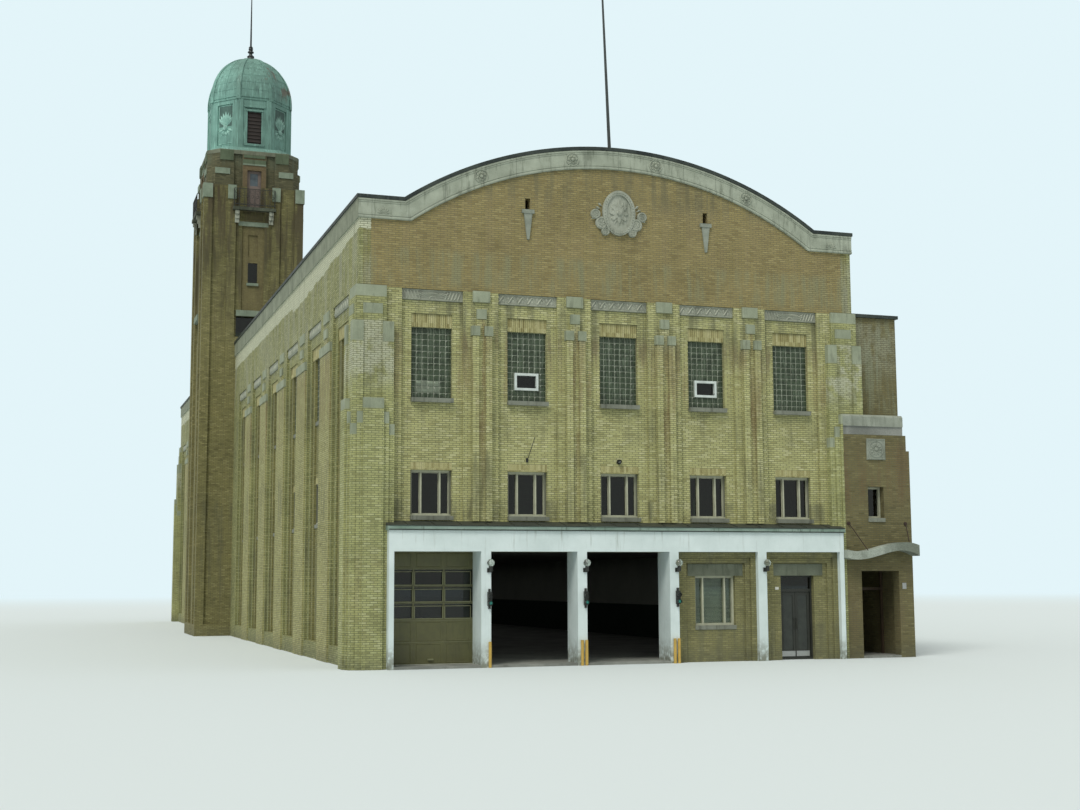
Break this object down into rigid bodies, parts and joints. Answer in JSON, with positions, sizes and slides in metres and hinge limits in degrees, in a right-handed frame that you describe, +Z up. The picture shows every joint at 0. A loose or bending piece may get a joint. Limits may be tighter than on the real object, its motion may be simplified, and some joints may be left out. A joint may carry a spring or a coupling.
{
  "type": "half-size model of a fire station with a hose tower",
  "caption": "Brick fire station at half size: vaulted hall with arched gable, portico over vehicle doors, entrance wing and square hose tower with copper dome.",
  "frame": {"origin": "at ground level under the middle of the street front, on the outer plane of the front wall", "axes": "+X along the street front towards the entrance wing, +Y into the building, +Z up"},
  "size_m": [11.165, 31.6468, 18.25],
  "materials": {
    "buff_brick": "yellow-buff brick in mortar",
    "orange_brick": "orange-tan brick in mortar",
    "side_brick": "buff brick in mortar",
    "pier_brick": "greenish buff brick with pale stains",
    "dark_brick": "brown brick in mortar",
    "wing_brick": "grey-brown brick in mortar",
    "tower_brick": "brown to yellow brick in mortar",
    "stone": "grey weathered stone",
    "white_render": "off-white painted render",
    "concrete": "plain concrete",
    "roofing": "dark roofing felt",
    "flashing": "dark blue-green sheet metal",
    "copper": "pale green weathered copper",
    "glass": "clear glass",
    "glass_block": "translucent glass block",
    "opal_glass": "opal white",
    "white_paint": "white paint",
    "dark_paint": "dark paint",
    "grey_paint": "grey paint",
    "olive_paint": "olive-brown paint",
    "yellow_paint": "yellow paint",
    "pole_paint": "light grey paint",
    "black_iron": "black paint",
    "timber": "dark stained planks"
  },
  "bodies": {
    "building": {"ground_floors": "concrete", "upper_floors": "concrete", "front_wall": "buff_brick", "front_gable": "orange_brick", "rear_wall": "side_brick", "left_wall": "side_brick", "right_wall": "side_brick", "roof_vault": "roofing", "copings": "stone", "parapet_flashings": "flashing", "friezes": "stone", "pilasters": "buff_brick", "pilaster_caps": "stone", "corner_piers": "pier_brick", "corner_caps": "stone", "glass_blocks": "glass_block", "hopper_frames": "white_paint", "window_frames": "dark_paint", "window_glass": "glass", "window_sills": "stone", "portico_piers": "white_render", "portico_beam": "white_render", "portico_roof": "flashing", "overhead_door": "olive_paint", "office_infill": "dark_brick", "entry_wall_sides": "dark_brick", "entry_wall_head": "dark_brick", "dressed_stones": "stone", "entry_frame": "grey_paint", "wing_front_walls": "wing_brick", "wing_side_walls": "wing_brick", "wing_rear_walls": "wing_brick", "wing_roof": "roofing", "wing_door_screen": "dark_paint", "wing_canopy": "white_render", "canopy_stays": "black_iron", "tower_cross_walls": "tower_brick", "tower_side_walls": "tower_brick", "tower_head": "tower_brick", "tower_caps": "stone", "balcony_doors": "timber", "balcony_slabs": "stone", "balcony_railings": "black_iron", "drum": "copper", "drum_louvres": "copper", "dome": "copper", "finial_spire": "copper", "flagpole": "pole_paint", "lamp_brackets": "black_iron", "lamp_globes": "opal_glass", "signal_lights": "black_iron", "guard_posts": "yellow_paint", "gable_medallion": "stone"},
    "entry_door_left": {"entry_leaf_left": "grey_paint", "entry_glass_left": "glass"},
    "entry_door_right": {"entry_leaf_right": "grey_paint", "entry_glass_right": "glass"}
  },
  "joints": [
    {"name": "entry_hinge_left", "type": "hinge", "parent": "building", "child": "entry_door_left", "pos_m": [2.948, -0.025, 0.04], "axis": [0, 0, -1], "range_deg": [0, 90]},
    {"name": "entry_hinge_right", "type": "hinge", "parent": "building", "child": "entry_door_right", "pos_m": [3.502, -0.025, 0.04], "axis": [0, 0, 1], "range_deg": [0, 90]}
  ]
}
